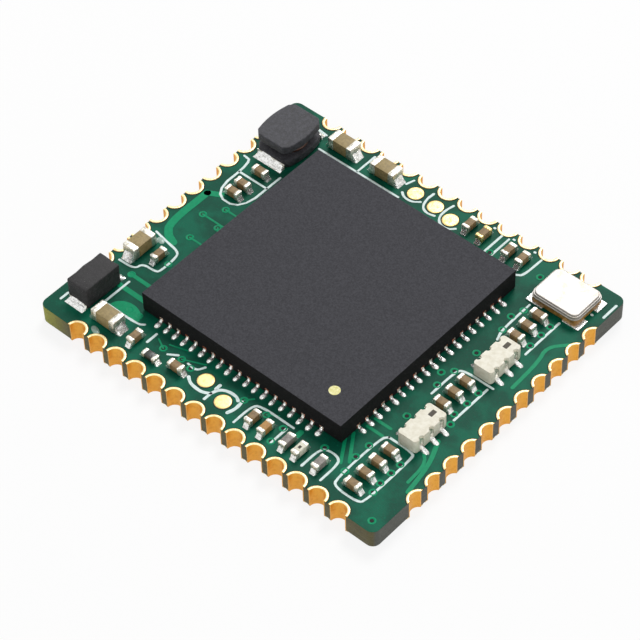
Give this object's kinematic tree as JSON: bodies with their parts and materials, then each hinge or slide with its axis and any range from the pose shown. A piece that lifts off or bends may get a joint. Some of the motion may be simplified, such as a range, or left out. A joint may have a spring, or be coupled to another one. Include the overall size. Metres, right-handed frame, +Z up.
{
  "type": "wifi module",
  "caption": "Castellated surface-mount radio board with a square leadless chip, two inductors, a crystal, two ceramic filters and rows of small chip parts.",
  "frame": {"origin": "middle of the underside, on the plane that the contact lands rest on", "axes": "+X along the long edge, +Y along the short edge, +Z up through the chip"},
  "size_m": [0.015, 0.013, 0.0018],
  "materials": {
    "gold_plating": "satin gold plate",
    "grey_ferrite": "smooth grey ferrite",
    "capacitor_ceramic": "smooth brown ceramic with tinned ends",
    "copper_lead": "sawn copper",
    "solder": "bright tin",
    "chip_mould": "fine matt mould compound",
    "green_board": "satin green solder mask over glass-fibre laminate",
    "brown_ceramic": "satin ceramic with a gilt edge",
    "lid_metal": "satin plated lid",
    "cream_ceramic": "smooth unglazed ceramic",
    "pale_ceramic": "smooth pale ceramic",
    "moulded_powder": "rough pressed powder",
    "ferrite": "rough dark ferrite",
    "enamelled_wire": "dark enamel",
    "resistor_black": "satin overglaze"
  },
  "bodies": {
    "root": {"back_contacts": "gold_plating", "bead_front_1": "grey_ferrite", "bead_front_2": "grey_ferrite", "bulk_capacitor_1": "capacitor_ceramic", "bulk_capacitor_2": "capacitor_ceramic", "bulk_capacitor_3": "capacitor_ceramic", "bulk_capacitor_4": "capacitor_ceramic", "capacitor_back_1": "capacitor_ceramic", "capacitor_back_2": "capacitor_ceramic", "capacitor_back_3": "capacitor_ceramic", "capacitor_back_4": "capacitor_ceramic", "capacitor_front_1": "capacitor_ceramic", "capacitor_front_2": "capacitor_ceramic", "capacitor_front_3": "capacitor_ceramic", "capacitor_left_1": "capacitor_ceramic", "capacitor_left_2": "capacitor_ceramic", "capacitor_left_3": "capacitor_ceramic", "capacitor_left_4": "capacitor_ceramic", "capacitor_right_1": "capacitor_ceramic", "capacitor_right_10": "capacitor_ceramic", "capacitor_right_2": "capacitor_ceramic", "capacitor_right_3": "capacitor_ceramic", "capacitor_right_4": "capacitor_ceramic", "capacitor_right_5": "capacitor_ceramic", "capacitor_right_6": "capacitor_ceramic", "capacitor_right_7": "capacitor_ceramic", "capacitor_right_8": "capacitor_ceramic", "capacitor_right_9": "capacitor_ceramic", "chip_back_leads": "copper_lead", "chip_back_solder": "solder", "chip_body": "chip_mould", "chip_front_leads": "copper_lead", "chip_front_solder": "solder", "chip_left_leads": "copper_lead", "chip_left_solder": "solder", "chip_right_leads": "copper_lead", "chip_right_solder": "solder", "chip_thermal_pad": "solder", "circuit_board": "green_board", "crystal_base": "brown_ceramic", "crystal_lid": "lid_metal", "crystal_pads": "solder", "filter_1_body": "cream_ceramic", "filter_1_terminals": "solder", "filter_2_body": "cream_ceramic", "filter_2_terminals": "solder", "front_contacts": "gold_plating", "inductor_front_1": "pale_ceramic", "inductor_front_2": "pale_ceramic", "left_contacts": "gold_plating", "moulded_inductor_body": "moulded_powder", "moulded_inductor_terminals": "solder", "power_inductor_core": "ferrite", "power_inductor_terminals": "solder", "power_inductor_winding": "enamelled_wire", "resistor_front_1": "resistor_black", "right_contacts": "gold_plating", "small_part_solder": "solder", "test_pads": "gold_plating"}
  },
  "joints": []
}
